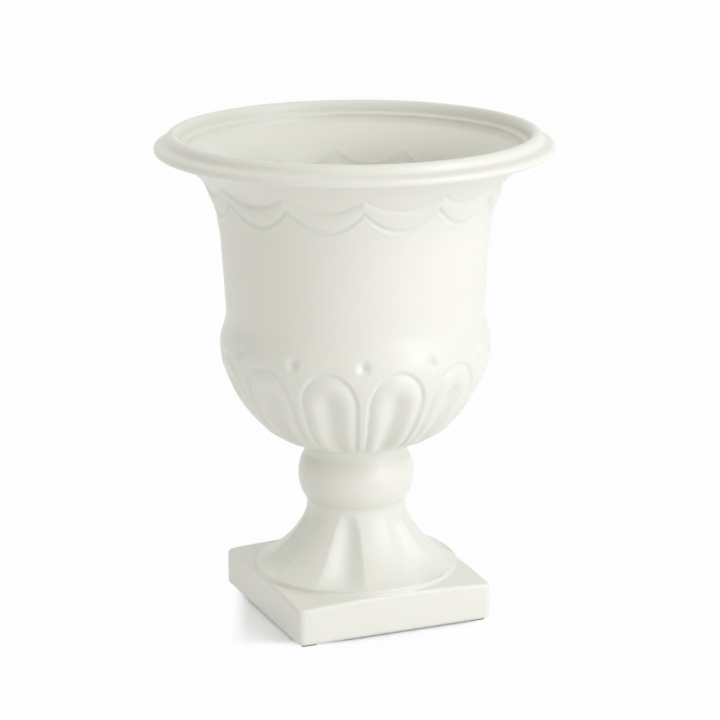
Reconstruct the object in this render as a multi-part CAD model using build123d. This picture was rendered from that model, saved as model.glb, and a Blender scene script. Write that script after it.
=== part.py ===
from build123d import *
import os
from math import sqrt

os.makedirs("parts", exist_ok=True)

# Lengths are millimetres and angles are degrees
# The origin lies on the floor under the middle of the plinth, whose sides face X and Y

# Levels above the floor
overall_height = 300.0
wall_foot_height = 190.5
bulge_height = 170.2
neck_height = 108.5

# Drops from the neck, where bowl and stem meet, to levels of the stem
neck_length = 8.6
knop_drop = 23.5
waist_drop = 40.3
stem_bore_drop = 58.5

# Radii at the levels
flange_radius = 120.5
cove_radius = 81.2
wall_foot_radius = 78.6
bulge_radius = 82.7
neck_radius = 32.0
knop_radius = 35.7
waist_radius = 30.3
foot_radius = 62.4

# Clay walls
wall = 6.0
floor_thickness = 7.5

# Rim: a rounded lip over a fuller bead, with a step inside that receives a liner
rim_height = 11.8
bead_height = 6.8
cove_drop = 55.2
lip_radius = 113.0
lip_thickness = 8.4
flange_under_radius = 113.2
rim_step_depth = 8.3
rim_step_width = 3.2
rim_step_height = 3.4

# Outline from neck to bulge, as shares of the way out and of the way up
bowl_side_shares = (
    (0.255, 0.045), (0.50, 0.165), (0.715, 0.37), (0.86, 0.58), (0.95, 0.78),
)
# Outline from the wall to the flange, as shares of the way out and of the way up
cove_side_shares = ((0.076, 0.33), (0.20, 0.57), (0.41, 0.77), (0.68, 0.91))
# Outline from the foot's edge to the waist, as shares of the way in and of the way up
flare_side_shares = ((0.32, 0.144), (0.628, 0.376), (0.841, 0.608), (0.97, 0.84))

# Chords that stand for each curve of the outlines
bowl_side_chord_count = 5
shoulder_chord_count = 1
cove_side_chord_count = 4
bead_chord_count = 4
lip_chord_count = 4
step_chord_count = 1
flare_chord_count = 4
knop_chord_count = 3

# Places along the outlines that the inside follows
inside_low_share = 0.33
inside_high_share = 0.6
inside_cove_share = 0.55

# Foot and stem
foot_edge_height = 2.6
foot_landing = 9.5
waist_cove_height = 3.3
stem_bore_radius = 24.3

# Moulded ornament, turned a little on the plinth
tongue_count = 12
flute_count = 6
moulding_turn = -4.3

# Hollow down the middle of each tongue on the lower bowl
tongue_end_share = 0.24
tongue_middle_share = 0.55
tongue_top_share = 0.86
tongue_hollow_depth = 1.9
tongue_gouge_radius = 27.0
gouge_lap = 3.0

# Dimples between the tongues' heads
dimple_height = 174.0
dimple_length = 9.5
dimple_depth = 2.1
dimple_gouge_radius = 7.5

# Flutes up the foot, as shares of the way up the flare and of their depth there
flute_edge_depth = 1.0
flute_depth = 3.0
flute_shares = ((0.22, 1.0), (0.47, 0.8), (0.72, 0.45), (0.95, 0.0))
flute_gouge_radius = 24.0
flute_lap = 0.5

# Plinth, with a crowned deck
plinth_side = 127.0
plinth_height = 27.3
plinth_crown_radius = 900.0
plinth_wall = 6.5
deck_drop = 4.5
plinth_corner_radius = 3.5
plinth_edge_break = 1.4
plinth_foot_break = 2.2
plinth_inner_corner_radius = 16.0
vent_radius = 9.0

# Register that centres the bowl on its stem
register_depth = 3.0
register_clearance = 0.4

# Pads under the plinth
pad_side = 9.0
pad_thickness = 1.0
pad_inset = 7.8

# Levels stacked from the floor up
plinth_top = pad_thickness + plinth_height
bowl_floor = neck_height + floor_thickness
knop_top_height = neck_height - neck_length
knop_height = neck_height - knop_drop
waist_height = neck_height - waist_drop
stem_bore_height = neck_height - stem_bore_drop
flange_under = overall_height - rim_height
cove_start = flange_under - cove_drop
lip_spring = overall_height - lip_thickness / 2
lip_inner_radius = lip_radius - lip_thickness
quirk_height = flange_under + bead_height
rim_step_top = overall_height - rim_step_depth


def outline_points(start, end, shares):
    """Points between two stations of an outline, placed by shares of the way out and up."""
    (r0, z0), (r1, z1) = start, end
    return [(r0 + (r1 - r0) * out, z0 + (z1 - z0) * up) for out, up in shares]


def chords(curve, count):
    """A curve of an outline as a number of equal chords."""
    places = [curve @ (step / count) for step in range(count + 1)]
    return Polyline([(place.X, place.Y) for place in places])


def inset_point(curve, share, distance):
    """A point inside an outline that is drawn upward, one distance from it."""
    place, direction = curve @ share, curve % share
    return (place.X - direction.Y * distance, place.Y + direction.X * distance)


def turned(*edges):
    """A solid of revolution about Z from an outline drawn as radius and height."""
    return revolve(Plane.XZ * make_face(edges), Axis.Z)


def around(shapes, count, first_angle):
    """Copies of some shapes set evenly round the Z axis."""
    turns = [first_angle + copy * 360 / count for copy in range(count)]
    return [Rot(0, 0, turn) * shape for turn in turns for shape in shapes]


def gouge(places, radius, lap):
    """Straight gouge cuts, end to end, whose deepest line runs through places on the XZ plane."""
    cuts = []
    for (low_radius, low_height), (high_radius, high_height) in zip(places, places[1:]):
        run = Line((low_radius, 0, low_height), (high_radius, 0, high_height))
        start = Plane(origin=run @ 0, x_dir=(0, 1, 0), z_dir=run % 0)
        cuts.append(extrude(start * Pos(0, -radius, -lap) * Circle(radius), run.length + 2 * lap))
    return cuts


# Outline of the bowl, drawn upward from the neck
neck_station = (neck_radius, neck_height)
bulge_station = (bulge_radius, bulge_height)
wall_foot_station = (wall_foot_radius, wall_foot_height)
cove_station = (cove_radius, cove_start)
flange_station = (flange_under_radius, flange_under)
quirk_station = (lip_radius, quirk_height)
step_station = (lip_inner_radius - rim_step_width, rim_step_top - rim_step_height)

bowl_side = Spline(
    neck_station, *outline_points(neck_station, bulge_station, bowl_side_shares), bulge_station
)
shoulder_middle = (
    (bulge_radius + wall_foot_radius) / 2,
    (bulge_height + wall_foot_height) / 2,
)
shoulder_low = TangentArc(bulge_station, shoulder_middle, tangent=(0, 1))
shoulder_high = TangentArc(shoulder_middle, wall_foot_station, tangent=shoulder_low % 1)
cove_side = Spline(
    cove_station, *outline_points(cove_station, flange_station, cove_side_shares), flange_station
)
bead = ThreePointArc(flange_station, (flange_radius, flange_under + bead_height / 2), quirk_station)
lip_crest = ThreePointArc(
    (lip_radius, lip_spring),
    (lip_radius - lip_thickness / 2, overall_height),
    (lip_inner_radius, lip_spring),
)
rim_step = TangentArc(step_station, (lip_inner_radius, rim_step_top), tangent=(0, 1))

# Inside of the bowl, about one wall in from the outline
register_radius = stem_bore_radius - register_clearance
bore_radius = wall_foot_radius - wall
inside = Polyline(
    (register_radius, bowl_floor),
    inset_point(bowl_side, inside_low_share, wall),
    inset_point(bowl_side, inside_high_share, wall),
    (bore_radius, bulge_height),
    (bore_radius, cove_start),
    inset_point(cove_side, inside_cove_share, wall),
    step_station,
)
bowl = turned(
    chords(bowl_side, bowl_side_chord_count),
    chords(shoulder_low, shoulder_chord_count),
    chords(shoulder_high, shoulder_chord_count),
    Line(wall_foot_station, cove_station),
    chords(cove_side, cove_side_chord_count),
    chords(bead, bead_chord_count),
    Line(quirk_station, (lip_radius, lip_spring)),
    chords(lip_crest, lip_chord_count),
    Line((lip_inner_radius, lip_spring), (lip_inner_radius, rim_step_top)),
    chords(rim_step, step_chord_count),
    inside,
    Polyline(
        (register_radius, bowl_floor),
        (0, bowl_floor),
        (0, neck_height - register_depth),
        (register_radius, neck_height - register_depth),
        (register_radius, neck_height),
        neck_station,
    ),
)

# Hollow that runs down the middle of a tongue
tongue_places = [
    inset_point(bowl_side, tongue_end_share, 0),
    inset_point(bowl_side, tongue_middle_share, tongue_hollow_depth),
    inset_point(bowl_side, tongue_top_share, 0),
]
tongue_hollow = gouge(tongue_places, tongue_gouge_radius, gouge_lap)

# Dimple between the heads of two tongues, cut by an upright gouge
dimple_floor = bulge_radius - dimple_depth
dimple_places = [
    (dimple_floor, dimple_height - dimple_length / 2),
    (dimple_floor, dimple_height + dimple_length / 2),
]
dimple = gouge(dimple_places, dimple_gouge_radius, 0)

bowl -= around(tongue_hollow, tongue_count, moulding_turn)
bowl -= around(dimple, tongue_count, moulding_turn + 180 / tongue_count)
export_step(bowl, "parts/bowl.step")

# Outline of the stem, drawn upward from the foot's edge
crown_base = plinth_top - plinth_crown_radius
foot_base = crown_base + sqrt(plinth_crown_radius**2 - foot_radius**2)
foot_edge_top = foot_base + foot_edge_height
waist_station = (waist_radius, waist_height)
waist_cove_station = (waist_radius, waist_height + waist_cove_height)
knop_station = (knop_radius, knop_height)
stem_top = (neck_radius, neck_height)
flare_start = (foot_radius, foot_edge_top)
flare = Spline(
    flare_start, *outline_points(flare_start, waist_station, flare_side_shares), waist_station
)
knop_top_station = (neck_radius, knop_top_height)
knop = ThreePointArc(waist_cove_station, knop_station, knop_top_station)
landing_radius = foot_radius - foot_landing
stem = turned(
    Line((foot_radius, foot_base), flare_start),
    chords(flare, flare_chord_count),
    Line(waist_station, waist_cove_station),
    chords(knop, knop_chord_count),
    Line(knop_top_station, stem_top),
    Polyline(
        stem_top,
        (stem_bore_radius, neck_height),
        (stem_bore_radius, stem_bore_height),
        (landing_radius, foot_base),
        (foot_radius, foot_base),
    ),
)
crown = Pos(0, 0, crown_base) * Rot(90, 0, 0) * Sphere(plinth_crown_radius)

# Flute down the foot
flute_places = [(foot_radius - flute_edge_depth, foot_base - gouge_lap)]
flute_places += [inset_point(flare, up, flute_depth * deep) for up, deep in flute_shares]
flute = gouge(flute_places, flute_gouge_radius, flute_lap)
stem -= [crown, *around(flute, flute_count, moulding_turn)]
export_step(stem, "parts/stem.step")

# Plinth with a crowned deck, open underneath and vented through the deck
plinth_base = Pos(0, 0, pad_thickness)
blank = extrude(plinth_base * RectangleRounded(plinth_side, plinth_side, plinth_corner_radius), plinth_height)
plinth = blank & crown
plinth = chamfer(plinth.faces().sort_by(Axis.Z)[-1].edges(), plinth_edge_break)
plinth = chamfer(plinth.faces().sort_by(Axis.Z)[0].edges(), plinth_foot_break)
hollow_side = plinth_side - 2 * plinth_wall
hollow_height = plinth_height - plinth_wall - deck_drop
hollow = extrude(
    plinth_base * RectangleRounded(hollow_side, hollow_side, plinth_inner_corner_radius),
    hollow_height,
)
vent = plinth_base * Cylinder(vent_radius, plinth_height, align=(Align.CENTER, Align.CENTER, Align.MIN))
plinth -= [hollow, vent]
export_step(plinth, "parts/plinth.step")

# Square pads under the plinth's corners
pad_reach = plinth_side / 2 - pad_inset
pad_places = {
    "front_left": (-pad_reach, -pad_reach),
    "front_right": (pad_reach, -pad_reach),
    "back_left": (-pad_reach, pad_reach),
    "back_right": (pad_reach, pad_reach),
}
for place, (x, y) in pad_places.items():
    pad = Pos(x, y, 0) * extrude(Rectangle(pad_side, pad_side), pad_thickness)
    export_step(pad, f"parts/pad_{place}.step")
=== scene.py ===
from math import cos, pi, radians, sin

import bpy
import numpy as np
from mathutils import Matrix, Vector


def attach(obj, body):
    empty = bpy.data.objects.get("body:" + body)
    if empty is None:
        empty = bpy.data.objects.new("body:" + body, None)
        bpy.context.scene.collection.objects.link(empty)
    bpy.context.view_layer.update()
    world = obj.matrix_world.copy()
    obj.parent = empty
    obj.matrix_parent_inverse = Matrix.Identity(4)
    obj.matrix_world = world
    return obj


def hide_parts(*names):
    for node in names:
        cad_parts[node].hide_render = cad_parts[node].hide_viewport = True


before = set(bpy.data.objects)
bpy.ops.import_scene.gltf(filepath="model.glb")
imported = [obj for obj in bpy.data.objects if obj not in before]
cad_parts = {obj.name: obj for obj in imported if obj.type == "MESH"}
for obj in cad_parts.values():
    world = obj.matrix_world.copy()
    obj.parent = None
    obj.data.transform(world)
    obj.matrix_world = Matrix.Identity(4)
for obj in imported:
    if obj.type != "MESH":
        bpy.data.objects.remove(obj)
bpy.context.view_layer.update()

# Pads: four squares of pressed wool felt, die-cut from sheet and glued under the corners of the
# plinth, so that the fired foot neither rocks nor scratches a table.
mm = 0.001
felt_fibre = 900.0
felt_nap = 0.2
felt_grey = (0.17, 0.165, 0.155, 1)
felt_pale = (0.30, 0.29, 0.27, 1)


def new_material(name):
    """A node material of that name, with its Principled shader."""
    material = bpy.data.materials.new(name)
    material.use_nodes = True
    return material, material.node_tree, material.node_tree.nodes["Principled BSDF"]


felt, felt_tree, felt_shader = new_material("pressed_felt")
felt_place = felt_tree.nodes.new("ShaderNodeTexCoord")
felt_noise = felt_tree.nodes.new("ShaderNodeTexNoise")
felt_noise.inputs["Scale"].default_value = felt_fibre
felt_noise.inputs["Detail"].default_value = 6
felt_colour = felt_tree.nodes.new("ShaderNodeMix")
felt_colour.data_type = "RGBA"
felt_colour.inputs["A"].default_value = felt_grey
felt_colour.inputs["B"].default_value = felt_pale
felt_bump = felt_tree.nodes.new("ShaderNodeBump")
felt_bump.inputs["Distance"].default_value = felt_nap * mm
felt_tree.links.new(felt_place.outputs["Object"], felt_noise.inputs["Vector"])
felt_tree.links.new(felt_noise.outputs["Fac"], felt_colour.inputs["Factor"])
felt_tree.links.new(felt_colour.outputs["Result"], felt_shader.inputs["Base Color"])
felt_tree.links.new(felt_noise.outputs["Fac"], felt_bump.inputs["Height"])
felt_tree.links.new(felt_bump.outputs["Normal"], felt_shader.inputs["Normal"])
felt_shader.inputs["Roughness"].default_value = 0.95
felt_shader.inputs["Sheen Weight"].default_value = 0.3

for place in ("front_left", "front_right", "back_left", "back_right"):
    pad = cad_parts["pad_" + place]
    pad.data.materials.clear()
    pad.data.materials.append(felt)

# Plinth: a square block of white earthenware, cast hollow and open underneath, with a slightly
# crowned deck, softened upper edges and a rolled lower edge. It is dipped in satin glaze.
pad_thickness = 1.0
plinth_half = 63.5
plinth_height = 27.3
plinth_crown = 900.0
plinth_corner = 4.5
plinth_top_round = 2.2
plinth_foot_round = 3.2
plinth_wall = 6.5
plinth_inner_corner = 16.0
plinth_hollow = 16.3
plinth_vent = 9.0
least_corner = 0.6
side_points = 24
corner_points = 8
hollow_rows = 6
round_rows = 8
side_rows = 10
deck_rows = 30
peel_share = 0.12
ivory_thin = (0.785, 0.78, 0.69, 1)
ivory_thick = (0.81, 0.812, 0.735, 1)


def skin(name, rings, closed=False):
    """A mesh drawn over rings of points, in millimetres, that all have one count of points."""
    rings = np.asarray(rings, float) * mm
    rows, count = rings.shape[:2]
    mesh = bpy.data.meshes.new(name)
    step = np.arange(count)
    following = np.roll(step, -1)
    faces = []
    for row in range(rows if closed else rows - 1):
        low, high = row * count, (row + 1) % rows * count
        faces.append(np.stack([low + step, low + following, high + following, high + step], 1))
    mesh.from_pydata(rings.reshape(-1, 3), [], np.concatenate(faces).tolist())
    mesh.shade_smooth()
    piece = bpy.data.objects.new(name, mesh)
    bpy.context.scene.collection.objects.link(piece)
    return piece


def square_ring(half, corner, height):
    """A rounded square of points, whose height may follow a rule of radius."""
    points = []
    for turn in range(4):
        arc = np.linspace(0, pi / 2, corner_points)
        side = np.linspace(half - corner, corner - half, side_points)[1:-1]
        x = np.concatenate([half - corner + corner * np.cos(arc), side])
        y = np.concatenate([half - corner + corner * np.sin(arc), np.full(side.shape, half)])
        c, s = cos(turn * pi / 2), sin(turn * pi / 2)
        points.append(np.stack([c * x - s * y, s * x + c * y], 1))
    points = np.concatenate(points)
    level = height(np.hypot(points[:, 0], points[:, 1])) if callable(height) else height
    return np.column_stack([points, np.broadcast_to(level, len(points))])


def crown_drop(radius):
    """How far the crowned deck has fallen at a radius from its middle."""
    return plinth_crown - np.sqrt(plinth_crown**2 - radius**2)


def deck_level(x, y):
    """The height of the crowned deck and its softened edge at a place."""
    beyond = np.clip(np.maximum(np.abs(x), np.abs(y)) - deck_half, 0, plinth_top_round)
    fall = plinth_top_round - np.sqrt(plinth_top_round**2 - beyond**2)
    return plinth_top - crown_drop(np.hypot(x, y)) - fall


plinth_top = pad_thickness + plinth_height
deck_half = plinth_half - plinth_top_round
plinth_rings = []
# Underside, from the vent down the hollow and out to the rolled lower edge
for share in np.linspace(0, 1, side_rows):
    half = plinth_vent + (plinth_half - plinth_wall - plinth_vent) * share
    corner = plinth_vent + (plinth_inner_corner - plinth_vent) * share
    plinth_rings.append(square_ring(half, corner, pad_thickness + plinth_hollow))
for share in np.linspace(0, 1, hollow_rows):
    level = pad_thickness + plinth_hollow * (1 - share)
    plinth_rings.append(square_ring(plinth_half - plinth_wall, plinth_inner_corner, level))
for turn in np.linspace(0, pi / 2, round_rows):
    inset = plinth_foot_round * (1 - sin(turn))
    level = pad_thickness + plinth_foot_round * (1 - cos(turn))
    corner = max(plinth_corner - inset, least_corner)
    plinth_rings.append(square_ring(plinth_half - inset, corner, level))
# Sides, and the softened edge that follows the crown
side_top = plinth_top - plinth_top_round
for share in np.linspace(0, 1, side_rows + 1)[1:]:
    plinth_rings.append(
        square_ring(
            plinth_half,
            plinth_corner,
            lambda radius: (pad_thickness + plinth_foot_round) * (1 - share)
            + (side_top - crown_drop(radius)) * share,
        )
    )
for turn in np.linspace(pi / 2, 0, round_rows)[1:]:
    inset = plinth_top_round * (1 - sin(turn))
    fall = plinth_top_round * (1 - cos(turn))
    corner = max(plinth_corner - inset, least_corner)
    plinth_rings.append(
        square_ring(plinth_half - inset, corner, lambda radius: plinth_top - fall - crown_drop(radius))
    )
# Crowned deck, in to the vent
for share in np.linspace(0, 1, deck_rows)[1:]:
    half = deck_half + (plinth_vent - deck_half) * share
    corner = plinth_corner + (plinth_vent - plinth_corner) * share
    plinth_rings.append(square_ring(half, corner, lambda radius: plinth_top - crown_drop(radius)))
plinth = skin("plinth_glazed", plinth_rings, closed=True)


def glaze_flow():
    """Satin glaze as a shader group: thick in hollows, thin on edges, and never quite level."""
    group = bpy.data.node_groups.new("glaze_flow", "ShaderNodeTree")
    for name, kind in (("Thin", "NodeSocketColor"), ("Thick", "NodeSocketColor")):
        group.interface.new_socket(name, in_out="INPUT", socket_type=kind)
    for name in ("Cloud Scale", "Pool"):
        group.interface.new_socket(name, in_out="INPUT", socket_type="NodeSocketFloat")
    group.interface.new_socket("Color", in_out="OUTPUT", socket_type="NodeSocketColor")
    group.interface.new_socket("Roughness", in_out="OUTPUT", socket_type="NodeSocketFloat")
    group.interface.new_socket("Height", in_out="OUTPUT", socket_type="NodeSocketFloat")
    node, link = group.nodes.new, group.links.new
    given, result = node("NodeGroupInput"), node("NodeGroupOutput")
    place = node("ShaderNodeTexCoord")
    cloud = node("ShaderNodeTexNoise")
    cloud.inputs["Detail"].default_value = 4
    link(place.outputs["Object"], cloud.inputs["Vector"])
    link(given.outputs["Cloud Scale"], cloud.inputs["Scale"])
    pooled = node("ShaderNodeAttribute")
    pooled.attribute_name = "glaze_depth"
    amount = node("ShaderNodeMath")
    amount.operation = "MULTIPLY_ADD"
    link(pooled.outputs["Fac"], amount.inputs[0])
    link(given.outputs["Pool"], amount.inputs[1])
    spread = node("ShaderNodeMapRange")
    spread.inputs["From Min"].default_value = 0.3
    spread.inputs["From Max"].default_value = 0.7
    spread.inputs["To Max"].default_value = 0.35
    link(cloud.outputs["Fac"], spread.inputs["Value"])
    link(spread.outputs["Result"], amount.inputs[2])
    colour = node("ShaderNodeMix")
    colour.data_type = "RGBA"
    link(amount.outputs["Value"], colour.inputs["Factor"])
    link(given.outputs["Thin"], colour.inputs["A"])
    link(given.outputs["Thick"], colour.inputs["B"])
    link(colour.outputs["Result"], result.inputs["Color"])
    gloss = node("ShaderNodeMapRange")
    gloss.inputs["From Min"].default_value = 0.3
    gloss.inputs["From Max"].default_value = 0.7
    gloss.inputs["To Min"].default_value = 0.30
    gloss.inputs["To Max"].default_value = 0.38
    link(cloud.outputs["Fac"], gloss.inputs["Value"])
    link(gloss.outputs["Result"], result.inputs["Roughness"])
    peel = node("ShaderNodeTexNoise")
    peel.inputs["Scale"].default_value = 320
    peel.inputs["Detail"].default_value = 2
    link(place.outputs["Object"], peel.inputs["Vector"])
    sway = node("ShaderNodeTexNoise")
    sway.inputs["Scale"].default_value = 45
    sway.inputs["Detail"].default_value = 1
    link(place.outputs["Object"], sway.inputs["Vector"])
    height = node("ShaderNodeMath")
    height.operation = "MULTIPLY_ADD"
    height.inputs[1].default_value = peel_share
    link(peel.outputs["Fac"], height.inputs[0])
    link(sway.outputs["Fac"], height.inputs[2])
    link(height.outputs["Value"], result.inputs["Height"])
    return group


flow = glaze_flow()


def glaze(name, thin, thick, cloud_scale, pool, relief):
    """A glazed finish with its own tints, cloud size, pooling and unevenness in millimetres."""
    material, tree, shader = new_material(name)
    coat = tree.nodes.new("ShaderNodeGroup")
    coat.node_tree = flow
    coat.inputs["Thin"].default_value = thin
    coat.inputs["Thick"].default_value = thick
    coat.inputs["Cloud Scale"].default_value = cloud_scale
    coat.inputs["Pool"].default_value = pool
    bump = tree.nodes.new("ShaderNodeBump")
    bump.inputs["Distance"].default_value = relief * mm
    tree.links.new(coat.outputs["Color"], shader.inputs["Base Color"])
    tree.links.new(coat.outputs["Roughness"], shader.inputs["Roughness"])
    tree.links.new(coat.outputs["Height"], bump.inputs["Height"])
    tree.links.new(bump.outputs["Normal"], shader.inputs["Normal"])
    shader.inputs["IOR"].default_value = 1.5
    return material


plinth.data.materials.append(
    glaze("plinth_glaze_satin", ivory_thin, ivory_thick, cloud_scale=24, pool=0.0, relief=0.35)
)
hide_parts("plinth")
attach(plinth, "root")

# Stem: a trumpet foot, a waist and a round knop, cast hollow in one mould and luted to the
# crowned deck with slip. Six hollow flutes run up the foot, close under every second tongue.
foot_radius = 62.4
foot_base = 26.15
foot_edge = 2.9
foot_belly = 2.32
foot_swell = 0.24
slip_reach = 0.6
slip_height = 1.3
# Each row of the slip fillet: shares of its reach and height, and of the deck's fall
slip_out = (1.0, 0.7, 0.45, 0.27, 0.18)
slip_up = (-0.046, 0.08, 0.28, 0.6, 1.0)
slip_follow = (1.0, 0.9, 0.7, 0.4)
slip_plain_rows = 3
# Stations of the outline are radius and height. Shares are parts of the way out and up
waist = (30.3, 68.2)
knop_foot = (30.7, 70.6)
knop_belly = (35.7, 85.0)
knop_top = (32.1, 99.6)
neck_stations = ((31.75, 101.4), (31.7, 103.5), (31.9, 106.0))
stem_top = (32.6, 108.5)
flare_shares = ((0.319, 0.144), (0.628, 0.376), (0.841, 0.608), (0.975, 0.84))
flute_count = 6
flute_turn = -1.8
# How deep and how wide to each side, in degrees, a flute is at these heights
flute_levels = (26.0, 29.05, 31.5, 36.0, 45.0, 58.0, 67.5)
flute_depths = (0.3, 0.7, 2.6, 4.6, 4.5, 3.1, 0.0)
flute_spans = (15.5, 15.5, 15.5, 15.5, 15.5, 14.0, 8.0)
flute_roundness = 1.6
stem_bore = 24.3
bore_foot = 50.0
skirt_wall = 9.5
skirt_gap = 0.6
turn_steps = 720


def smooth_line(stations, count):
    """A smooth line of count points through given stations of radius and height."""
    stations = np.asarray(stations, float)
    along = np.concatenate([[0], np.cumsum(np.hypot(*np.diff(stations, axis=0).T))])
    slopes = np.gradient(stations, along, axis=0, edge_order=2 if len(stations) > 2 else 1)
    where = np.linspace(0, along[-1], count)
    part = np.clip(np.searchsorted(along, where, side="right") - 1, 0, len(along) - 2)
    span = (along[part + 1] - along[part])[:, None]
    t = (where - along[part])[:, None] / span
    return (
        (2 * t**3 - 3 * t**2 + 1) * stations[part]
        + (t**3 - 2 * t**2 + t) * span * slopes[part]
        + (3 * t**2 - 2 * t**3) * stations[part + 1]
        + (t**3 - t**2) * span * slopes[part + 1]
    )


def arc_line(first, middle, last, count):
    """An arc of count points through three points of radius and height."""
    (ax, ay), (bx, by), (cx, cy) = first, middle, last
    d = 2 * (ax * (by - cy) + bx * (cy - ay) + cx * (ay - by))
    aa, bb, cc = ax**2 + ay**2, bx**2 + by**2, cx**2 + cy**2
    x = (aa * (by - cy) + bb * (cy - ay) + cc * (ay - by)) / d
    y = (aa * (cx - bx) + bb * (ax - cx) + cc * (bx - ax)) / d
    start, mid, end = (np.arctan2(q - y, p - x) for p, q in (first, middle, last))
    while mid < start:
        mid += 2 * pi
    while end < start:
        end += 2 * pi
    if mid > end:
        end -= 2 * pi
    turn = np.linspace(start, end, count)
    radius = np.hypot(ax - x, ay - y)
    return np.column_stack([x + radius * np.cos(turn), y + radius * np.sin(turn)])


def between(start, end, shares):
    """Stations between two points, placed by shares of the way out and up."""
    start, end = np.array(start, float), np.array(end, float)
    return [tuple(start)] + [tuple(start + (end - start) * np.array(s)) for s in shares] + [tuple(end)]


def wrapped(angle, pitch):
    """An angle from the nearest of several evenly set places."""
    return (angle + pitch / 2) % pitch - pitch / 2


turn_angles = np.linspace(0, 360, turn_steps, endpoint=False)[None, :]


def turned_rings(outline, depth):
    """Rings of a turned form, moved out along the outline's normal by a depth at every point."""
    run = np.gradient(outline, axis=0)
    run /= np.hypot(run[:, 0], run[:, 1])[:, None]
    radius = outline[:, :1] + depth * run[:, 1:]
    level = outline[:, 1:] - depth * run[:, :1]
    turn = np.radians(turn_angles)
    return np.stack([radius * np.cos(turn), radius * np.sin(turn), level], 2)


def flute_relief(angle, level):
    """How far the foot's flutes sink in below the turned outline."""
    off = wrapped(angle - flute_turn, 360 / flute_count)
    depth = np.interp(level, flute_levels, flute_depths)
    span = np.interp(level, flute_levels, flute_spans)
    return -depth * np.clip(1 - (off / span) ** 2, 0, 1) ** flute_roundness


slip_line = [
    (foot_radius + slip_reach * out, foot_base + slip_height * up) for out, up in zip(slip_out, slip_up)
]
edge_belly = (foot_radius + foot_swell, foot_base + foot_belly)
edge_top = (foot_radius, foot_base + foot_edge)
outer_line = np.concatenate([
    slip_line[:-1],
    arc_line(slip_line[-1], edge_belly, edge_top, 10),
    smooth_line(between(edge_top, waist, flare_shares), 90)[1:],
    arc_line(knop_foot, knop_belly, knop_top, 50),
    smooth_line([knop_top, *neck_stations, stem_top], 12)[1:],
])
skirt_edge = (foot_radius - skirt_wall, foot_base + skirt_gap)
bore_line = [(stem_bore, stem_top[1]), (stem_bore, bore_foot), skirt_edge]
stem_line = np.concatenate([outer_line, bore_line])
stem_depth = flute_relief(turn_angles, stem_line[:, 1:])
stem_depth[:slip_plain_rows] = 0
stem_depth[len(outer_line):] = 0
stem_rings = turned_rings(stem_line, stem_depth)
# The lowest rows of the slip follow the fall of the deck
for row, share in enumerate(slip_follow):
    stem_rings[row, :, 2] += share * (deck_level(*stem_rings[row, :, :2].T) - foot_base)
stem = skin("stem_glazed", stem_rings, closed=True)


def mark_glaze_depth(piece, depth, deepest):
    """Notes on every point how thick the glaze lies there, from 0 on edges to 1 in hollows."""
    layer = piece.data.attributes.new("glaze_depth", "FLOAT", "POINT")
    layer.data.foreach_set("value", np.clip(-depth / deepest, 0, 1).astype(np.float32).ravel())


mark_glaze_depth(stem, stem_depth, deepest=3.0)
stem.data.materials.append(
    glaze("stem_glaze_satin", ivory_thin, ivory_thick, cloud_scale=30, pool=0.8, relief=0.35)
)
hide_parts("stem")
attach(stem, "root")

# Bowl: the urn's body, slip-cast with a 6 mm wall in a mould of several parts and luted to the
# knop. Twelve tongues wrap its round bottom, and two rows of engraved swags hang below the rim.
wall = 6.0
axis_gap = 0.05
base_edge = 0.6
neck = (32.6, 108.5)
bulge = (82.7, 170.2)
wall_foot = (78.6, 190.5)
cove_foot = (81.2, 233.0)
flange = (113.0, 288.0)
side_stations = (
    (34.0, 108.75), (37.5, 109.2), (41.5, 109.9), (45.6, 111.3), (51.4, 114.7), (57.7, 119.0),
    (63.4, 125.0), (68.1, 131.0), (72.1, 137.0), (75.2, 143.0), (77.9, 149.0), (80.2, 155.0),
    (81.8, 161.0),
)
shoulder_stations = ((82.1, 175.4), (80.65, 180.35), (79.2, 185.3))
cove_shares = (
    (0.019, 0.108), (0.049, 0.216), (0.076, 0.324), (0.121, 0.432), (0.181, 0.541),
    (0.256, 0.649), (0.396, 0.757), (0.492, 0.811), (0.618, 0.865), (0.79, 0.93),
)
bead_stations = (
    (113.6, 287.75), (116.4, 287.75), (118.8, 288.2), (120.05, 289.2), (120.43, 290.6), (120.1, 292.0),
    (119.1, 293.0), (117.5, 293.65), (115.6, 294.2), (114.3, 294.75), (113.6, 295.6),
)
lip_stations = (
    (113.3, 296.4), (112.6, 298.1), (111.2, 299.4), (109.2, 299.98), (107.4, 299.5), (106.1, 298.0),
    (105.3, 296.2),
)
ledge_stations = ((104.9, 294.4), (104.7, 293.3), (104.2, 292.7), (103.4, 292.4))
ledge_arc = ((102.9, 292.3), (102.2, 291.9), (101.9, 290.9))
inner_top = 287.4
inner_foot = 44.0
floor_level = 116.0
basin_stations = ((34.0, floor_level + 1.4), (20.0, floor_level), (axis_gap, floor_level))
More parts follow.
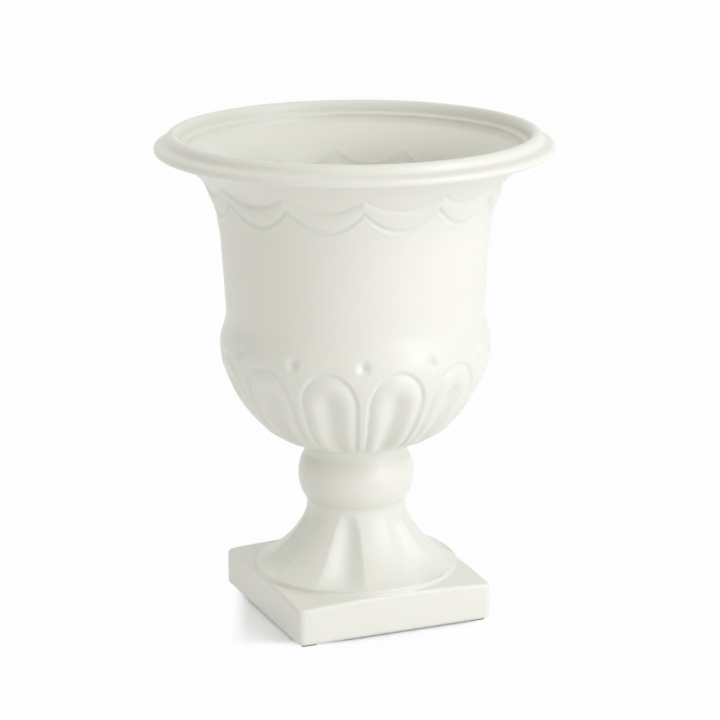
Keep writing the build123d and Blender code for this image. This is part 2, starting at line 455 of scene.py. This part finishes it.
# Every tongue and swag takes a twelfth of the way round. Reach and roundness shape its section
moulding_turn = -4.3
tongue_count = 12
tongue_fade = (108.5, 117.5)
tongue_head = 146.0
tongue_top = 168.3
tongue_span = 12.0
hollow_share = 0.69
hollow_depth = 4.0
hollow_roundness = 2.7
groove_start = 0.70
groove_share = 0.30
groove_depth = 1.5
ridge_share = 0.16
dimple_level = 174.0
dimple_tall = 5.6
dimple_wide = 3.6
dimple_depth = 2.7
dimple_roundness = 1.3
swag_top = (267.4, 275.2)
swag_low = (254.8, 266.8)
swag_groove = 1.5
swag_cut = 0.75
swag_ridge = 0.3
swag_ridge_below = 1.7
swag_swell = 0.95
swag_fullness = 0.8
echo_share = 0.35
echo_lift = 5.0
echo_turn = 5.0
ledge_edge = (101.9, 292.0)
edge_spread = 1.1
break_side = (0.80, 0.60, 0)
break_brown = (0.46, 0.31, 0.13, 1)


def ease(value, low, high):
    """A smooth step from 0 at low to 1 at high."""
    t = np.clip((value - low) / (high - low), 0, 1)
    return t * t * (3 - 2 * t)


def swag_relief(off, level):
    """A soft roll that hangs between two engraved scallops."""
    sag = (np.abs(off) * tongue_count / 180) ** 2
    top = swag_top[0] + (swag_top[1] - swag_top[0]) * sag
    low = swag_low[0] + (swag_low[1] - swag_low[0]) * sag
    cut = sum(np.exp(-(((level - line) / swag_groove) ** 2)) for line in (top, low))
    across = np.clip((level - low) / (top - low), 0, 1)
    roll = swag_swell * np.clip(4 * across * (1 - across), 0, 1) ** swag_fullness
    ridge = swag_ridge * np.exp(-(((low - level) / swag_groove - swag_ridge_below) ** 2))
    return roll + ridge - swag_cut * cut


def bowl_relief(angle, level):
    """Tongues, dimples and swags, as the distance that they stand out from the turned outline."""
    off = wrapped(angle - moulding_turn, 360 / tongue_count)
    aside = 180 / tongue_count - np.abs(off)
    rise = np.clip((level - tongue_head) / (tongue_top - tongue_head), 0, None)
    reach = np.hypot(off / tongue_span, rise)
    hollow = -hollow_depth * np.clip(1 - (reach / hollow_share) ** 2, 0, 1) ** hollow_roundness
    flank = np.where(reach < 1, (reach - groove_start) / groove_share, 1)
    groove = -groove_depth * np.clip(flank, 0, 1) ** 2
    groove *= 1 - ease(reach, 1.0, 1.0 + ridge_share)
    tongues = (hollow + groove) * ease(level, *tongue_fade)
    dent = np.hypot(aside / dimple_wide, (level - dimple_level) / dimple_tall)
    dimples = -dimple_depth * np.clip(1 - dent, 0, 1) ** dimple_roundness
    return np.minimum(tongues, dimples) + swag_relief(off, level)


cast_line = np.concatenate([
    smooth_line([neck, *side_stations, bulge], 150)[1:],
    smooth_line([bulge, *shoulder_stations, wall_foot], 30)[1:],
    smooth_line([wall_foot, cove_foot], 24)[1:],
    smooth_line(between(cove_foot, flange, cove_shares), 130)[1:],
])
lip_line = np.concatenate([
    smooth_line(bead_stations, 60),
    smooth_line(lip_stations, 36),
    smooth_line(ledge_stations, 8),
    arc_line(*ledge_arc, 8),
])
cast_run = np.gradient(cast_line, axis=0)
cast_run /= np.hypot(cast_run[:, 0], cast_run[:, 1])[:, None]
inner_line = cast_line - wall * np.column_stack([cast_run[:, 1], -cast_run[:, 0]])
kept = (inner_line[:, 0] > inner_foot) & (inner_line[:, 1] < inner_top) & (cast_line[:, 1] > floor_level)
inner_line = inner_line[kept][::-1]
base_line = [(axis_gap, neck[1]), (neck[0] - wall, neck[1]), (neck[0] - base_edge, neck[1])]
basin_line = smooth_line([inner_line[-1], *basin_stations], 30)[1:]

# Each run of the outline, the line that gives it relief, and how strong that relief is: full on
# the mould's side, and a soft echo inside, where the slip drained away
runs = (
    (base_line, base_line, 0.0),
    (cast_line, cast_line, 1.0),
    (lip_line, lip_line, 0.0),
    (inner_line, cast_line[kept][::-1] + (0, echo_lift), -echo_share),
    (basin_line, basin_line, 0.0),
)
bowl_line = np.concatenate([line for line, _, _ in runs])
relief_level = np.concatenate([source for _, source, _ in runs])[:, 1:]
strength = np.concatenate([np.full(len(line), share) for line, _, share in runs])[:, None]
bowl_depth = strength * bowl_relief(turn_angles - echo_turn * (strength < 0), relief_level)
bowl = skin("bowl_glazed", turned_rings(bowl_line, bowl_depth))
mark_glaze_depth(bowl, bowl_depth, deepest=2.0)
edge_break = bowl.data.attributes.new("edge_break", "FLOAT", "POINT")
apart = np.hypot(*(bowl_line - ledge_edge).T)
edge_break.data.foreach_set(
    "value", np.repeat(np.exp(-((apart / edge_spread) ** 2)), turn_steps).astype(np.float32)
)
bowl_glaze = glaze("bowl_glaze_satin", ivory_thin, ivory_thick, cloud_scale=18, pool=0.3, relief=0.35)
bowl_tree = bowl_glaze.node_tree
bowl_node, bowl_link = bowl_tree.nodes.new, bowl_tree.links.new
# The glaze breaks to a warm brown on the ledge's edge, mostly on the side that drained last
break_edge = bowl_node("ShaderNodeAttribute")
break_edge.attribute_name = "edge_break"
break_place = bowl_node("ShaderNodeTexCoord")
break_patch = bowl_node("ShaderNodeTexNoise")
break_patch.inputs["Scale"].default_value = 40
bowl_link(break_place.outputs["Object"], break_patch.inputs["Vector"])
break_along = bowl_node("ShaderNodeVectorMath")
break_along.operation = "DOT_PRODUCT"
break_along.inputs[1].default_value = break_side
bowl_link(break_place.outputs["Object"], break_along.inputs[0])
break_fade = bowl_node("ShaderNodeMapRange")
break_fade.interpolation_type = "SMOOTHSTEP"
break_fade.inputs["From Min"].default_value = 0.062
break_fade.inputs["From Max"].default_value = 0.1
break_fade.inputs["To Max"].default_value = 0.5
bowl_link(break_along.outputs["Value"], break_fade.inputs["Value"])
break_amount = bowl_node("ShaderNodeMath")
break_amount.operation = "MULTIPLY"
bowl_link(break_edge.outputs["Fac"], break_amount.inputs[0])
bowl_link(break_fade.outputs["Result"], break_amount.inputs[1])
break_worn = bowl_node("ShaderNodeMath")
break_worn.operation = "MULTIPLY"
break_worn.use_clamp = True
bowl_link(break_amount.outputs["Value"], break_worn.inputs[0])
bowl_link(break_patch.outputs["Fac"], break_worn.inputs[1])
break_tint = bowl_node("ShaderNodeMix")
break_tint.data_type = "RGBA"
break_tint.inputs["B"].default_value = break_brown
bowl_link(break_worn.outputs["Value"], break_tint.inputs["Factor"])
bowl_shader = bowl_tree.nodes["Principled BSDF"]
bowl_link(bowl_shader.inputs["Base Color"].links[0].from_socket, break_tint.inputs["A"])
bowl_link(break_tint.outputs["Result"], bowl_shader.inputs["Base Color"])
bowl.data.materials.append(bowl_glaze)
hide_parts("bowl")
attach(bowl, "root")

# Table: a wide sheet of white paper that lies under the vase and curves up behind it, as in a
# studio. It isn't part of the vase. It shows white to the camera and keeps the shadow at the foot.
view_turn = 22.6
table_reach = 6.0
table_rows = ((-6.0, 0.0), (2.0, 0.0), (2.6, 0.05), (3.2, 0.25), (3.8, 0.7), (4.2, 1.4), (4.4, 4.0))
paper_tint = (0.92, 0.92, 0.93, 1)
shadow_lift = 0.11

table_mesh = bpy.data.meshes.new("table")
table_points = [(x, y, z) for y, z in table_rows for x in (-table_reach, table_reach)]
table_faces = [(2 * i, 2 * i + 1, 2 * i + 3, 2 * i + 2) for i in range(len(table_rows) - 1)]
table_mesh.from_pydata(table_points, [], table_faces)
table_mesh.shade_smooth()
table = bpy.data.objects.new("table", table_mesh)
table.rotation_euler.z = radians(-view_turn)
bpy.context.scene.collection.objects.link(table)
paper, paper_tree, paper_shader = new_material("white_paper")
paper_shader.inputs["Base Color"].default_value = paper_tint
paper_shader.inputs["Roughness"].default_value = 1.0
paper_shader.inputs["Specular IOR Level"].default_value = 0.0
paper_node, paper_link = paper_tree.nodes.new, paper_tree.links.new
paper_rays = paper_node("ShaderNodeLightPath")
paper_seen = paper_node("ShaderNodeMath")
paper_seen.operation = "MAXIMUM"
paper_link(paper_rays.outputs["Is Camera Ray"], paper_seen.inputs[0])
paper_link(paper_rays.outputs["Is Glossy Ray"], paper_seen.inputs[1])
paper_place = paper_node("ShaderNodeTexCoord")
paper_apart = paper_node("ShaderNodeVectorMath")
paper_apart.operation = "ABSOLUTE"
paper_link(paper_place.outputs["Object"], paper_apart.inputs[0])
paper_beside = paper_node("ShaderNodeVectorMath")
paper_beside.operation = "SUBTRACT"
paper_beside.inputs[1].default_value = (plinth_half * mm, plinth_half * mm, 0)
paper_link(paper_apart.outputs["Vector"], paper_beside.inputs[0])
paper_out = paper_node("ShaderNodeVectorMath")
paper_out.operation = "MAXIMUM"
paper_link(paper_beside.outputs["Vector"], paper_out.inputs[0])
paper_far = paper_node("ShaderNodeVectorMath")
paper_far.operation = "LENGTH"
paper_link(paper_out.outputs["Vector"], paper_far.inputs[0])
paper_fade = paper_node("ShaderNodeMapRange")
paper_fade.interpolation_type = "SMOOTHSTEP"
paper_fade.inputs["From Min"].default_value = 0.002
paper_fade.inputs["From Max"].default_value = 0.015
paper_link(paper_far.outputs["Value"], paper_fade.inputs["Value"])
paper_white = paper_node("ShaderNodeMath")
paper_white.operation = "MULTIPLY"
paper_link(paper_seen.outputs["Value"], paper_white.inputs[0])
paper_link(paper_fade.outputs["Result"], paper_white.inputs[1])
paper_lift = paper_node("ShaderNodeMath")
paper_lift.operation = "MULTIPLY"
paper_lift.inputs[1].default_value = shadow_lift
paper_link(paper_seen.outputs["Value"], paper_lift.inputs[0])
paper_near_glow = paper_node("ShaderNodeEmission")
paper_link(paper_lift.outputs["Value"], paper_near_glow.inputs["Strength"])
paper_far_glow = paper_node("ShaderNodeEmission")
paper_far_glow.inputs["Strength"].default_value = 0.985
paper_near = paper_node("ShaderNodeAddShader")
paper_mix = paper_node("ShaderNodeMixShader")
paper_link(paper_shader.outputs["BSDF"], paper_near.inputs[0])
paper_link(paper_near_glow.outputs["Emission"], paper_near.inputs[1])
paper_link(paper_white.outputs["Value"], paper_mix.inputs["Fac"])
paper_link(paper_near.outputs["Shader"], paper_mix.inputs[1])
paper_link(paper_far_glow.outputs["Emission"], paper_mix.inputs[2])
paper_link(paper_mix.outputs["Shader"], paper_tree.nodes["Material Output"].inputs["Surface"])
table_mesh.materials.append(paper)

# Light: a window's broad soft light from the right, a white card low beside it, a pale wall on
# the left, and a bright room all round, lighter overhead than at the floor.
lamp_tint = (0.875, 0.88, 0.98)
lamp_aim = (0, 0, 0.15)

world = bpy.data.worlds.new("room")
bpy.context.scene.world = world
world.use_nodes = True
sky_node, sky_link = world.node_tree.nodes.new, world.node_tree.links.new
sky = world.node_tree.nodes["Background"]
sky.inputs["Color"].default_value = (1.0, 1.0, 0.985, 1)
sky_place = sky_node("ShaderNodeTexCoord")
sky_parts = sky_node("ShaderNodeSeparateXYZ")
sky_link(sky_place.outputs["Generated"], sky_parts.inputs["Vector"])
sky_rise = sky_node("ShaderNodeMapRange")
sky_rise.inputs["To Min"].default_value = 0.465
sky_rise.inputs["To Max"].default_value = 0.88
sky_link(sky_parts.outputs["Z"], sky_rise.inputs["Value"])
sky_link(sky_rise.outputs["Result"], sky.inputs["Strength"])


def lamp(name, angle, height, away, width, tall, power):
    """A soft lamp that faces the vase, placed by its angle round it, to the camera's right."""
    light = bpy.data.lights.new(name, "AREA")
    light.shape = "RECTANGLE"
    light.size = width
    light.size_y = tall
    light.energy = power
    light.color = lamp_tint
    stand = bpy.data.objects.new(name, light)
    round_angle = radians(angle - view_turn - 90)
    stand.location = (away * cos(round_angle), away * sin(round_angle), height)
    stand.rotation_euler = (Vector(lamp_aim) - stand.location).to_track_quat("-Z", "Y").to_euler()
    bpy.context.scene.collection.objects.link(stand)


lamp("window", angle=59, height=1.3, away=1.8, width=1.0, tall=1.4, power=14)
lamp("white_card", angle=50, height=0.3, away=1.6, width=0.9, tall=0.5, power=6)
lamp("white_wall", angle=-60, height=0.5, away=1.7, width=1.6, tall=0.9, power=1)

# Camera: a long lens that looks a little down on the vase, and stands round to one side of the
# plinth's front, so that a corner of the plinth shows left of the middle.
camera_away = 1.60075
camera_height = 0.5884
camera_lens = 135.15
sensor_width = 36
pitch, yaw, roll = radians(15.076), radians(0.1003), radians(-0.226)
ahead = Vector((sin(yaw) * cos(pitch), cos(yaw) * cos(pitch), -sin(pitch)))
right = Vector((cos(yaw), -sin(yaw), 0))
above = right.cross(ahead)
across = right * cos(roll) + above * sin(roll)
upward = above * cos(roll) - right * sin(roll)
camera = bpy.data.objects.new("camera", bpy.data.cameras.new("camera"))
camera.data.sensor_width = sensor_width
camera.data.lens = camera_lens
axes = Matrix((across, upward, -ahead)).transposed().to_4x4()
camera_place = Matrix.Translation((0, -camera_away, camera_height)) @ axes
camera.matrix_world = Matrix.Rotation(radians(-view_turn), 4, "Z") @ camera_place
bpy.context.scene.collection.objects.link(camera)
bpy.context.scene.camera = camera
bpy.context.scene.view_settings.view_transform = "Standard"
